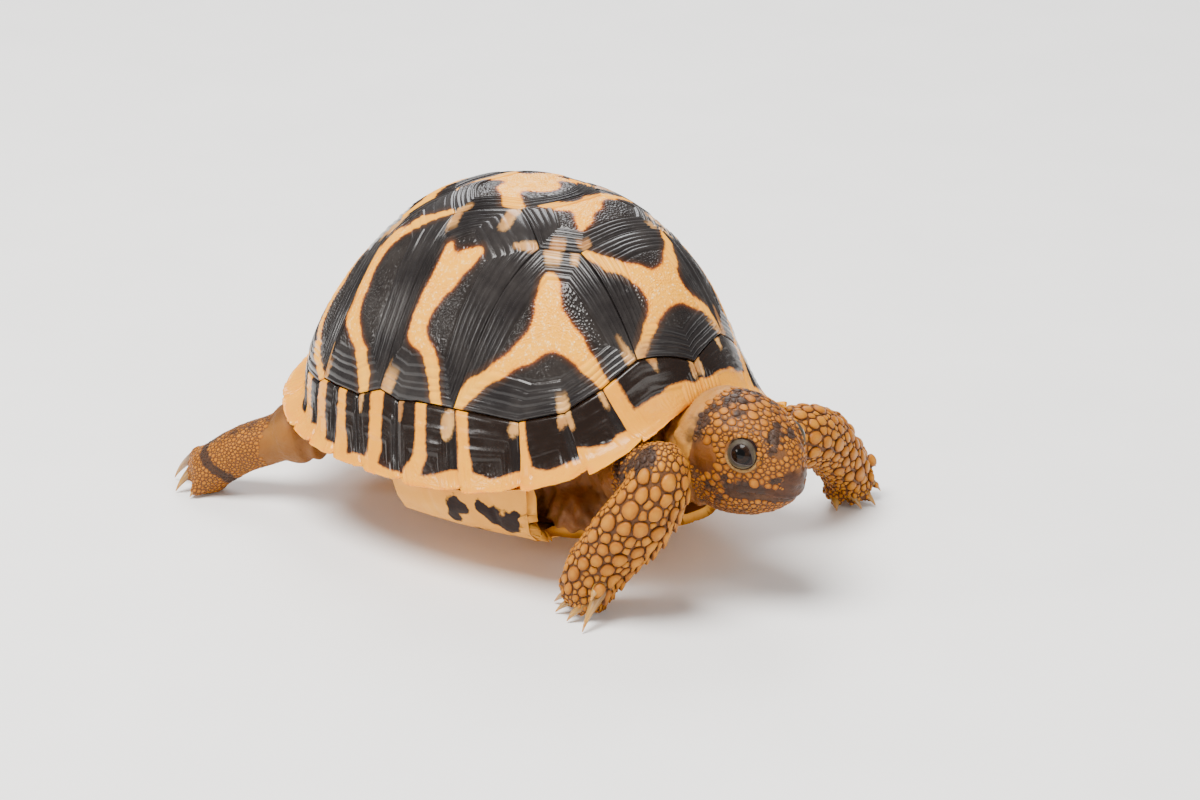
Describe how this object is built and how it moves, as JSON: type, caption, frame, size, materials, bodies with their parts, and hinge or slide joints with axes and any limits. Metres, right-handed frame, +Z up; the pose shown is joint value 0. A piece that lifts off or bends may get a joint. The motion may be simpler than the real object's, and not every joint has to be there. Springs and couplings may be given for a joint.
{
  "type": "star tortoise",
  "caption": "Still, life-size model of a young star tortoise in mid-step, with a domed shell of dark plates rayed in yellow, scaly legs, claws, head and tail.",
  "frame": {"origin": "on the floor, under the middle of the whole animal's bounding box", "axes": "+X towards the head, +Y to the animal's left, +Z up"},
  "size_m": [0.101, 0.0758, 0.0509],
  "materials": {
    "shell_plate": "satin, ridged and pebbled, with yellow rays",
    "shell_rim": "satin, yellow with dark wedges",
    "plastron_horn": "satin, yellow with dark blotches",
    "skin": "matt, folded, with small scales",
    "foreleg_skin": "satin, with large raised scales",
    "claw_horn": "smooth, slightly translucent",
    "eye": "wet gloss"
  },
  "bodies": {
    "root": {"vertebral_1": "shell_plate", "vertebral_2": "shell_plate", "vertebral_3": "shell_plate", "vertebral_4": "shell_plate", "vertebral_5": "shell_plate", "costal_left_1": "shell_plate", "costal_left_2": "shell_plate", "costal_left_3": "shell_plate", "costal_left_4": "shell_plate", "costal_right_1": "shell_plate", "costal_right_2": "shell_plate", "costal_right_3": "shell_plate", "costal_right_4": "shell_plate", "marginals_left": "shell_rim", "marginals_right": "shell_rim", "supracaudal": "shell_rim", "plastron": "plastron_horn", "trunk": "skin", "neck": "skin", "head": "skin", "leg_rear_right": "skin", "leg_rear_left": "skin", "tail": "skin", "leg_front_right": "foreleg_skin", "leg_front_left": "foreleg_skin", "eye_left": "eye", "eye_right": "eye", "claw_front_right_1": "claw_horn", "claw_front_right_2": "claw_horn", "claw_front_right_3": "claw_horn", "claw_front_right_4": "claw_horn", "claw_front_right_5": "claw_horn", "claw_front_left_1": "claw_horn", "claw_front_left_2": "claw_horn", "claw_front_left_3": "claw_horn", "claw_front_left_4": "claw_horn", "claw_front_left_5": "claw_horn", "claw_rear_right_1": "claw_horn", "claw_rear_right_2": "claw_horn", "claw_rear_right_3": "claw_horn", "claw_rear_right_4": "claw_horn", "claw_rear_left_1": "claw_horn", "claw_rear_left_2": "claw_horn", "claw_rear_left_3": "claw_horn", "claw_rear_left_4": "claw_horn"}
  },
  "joints": []
}
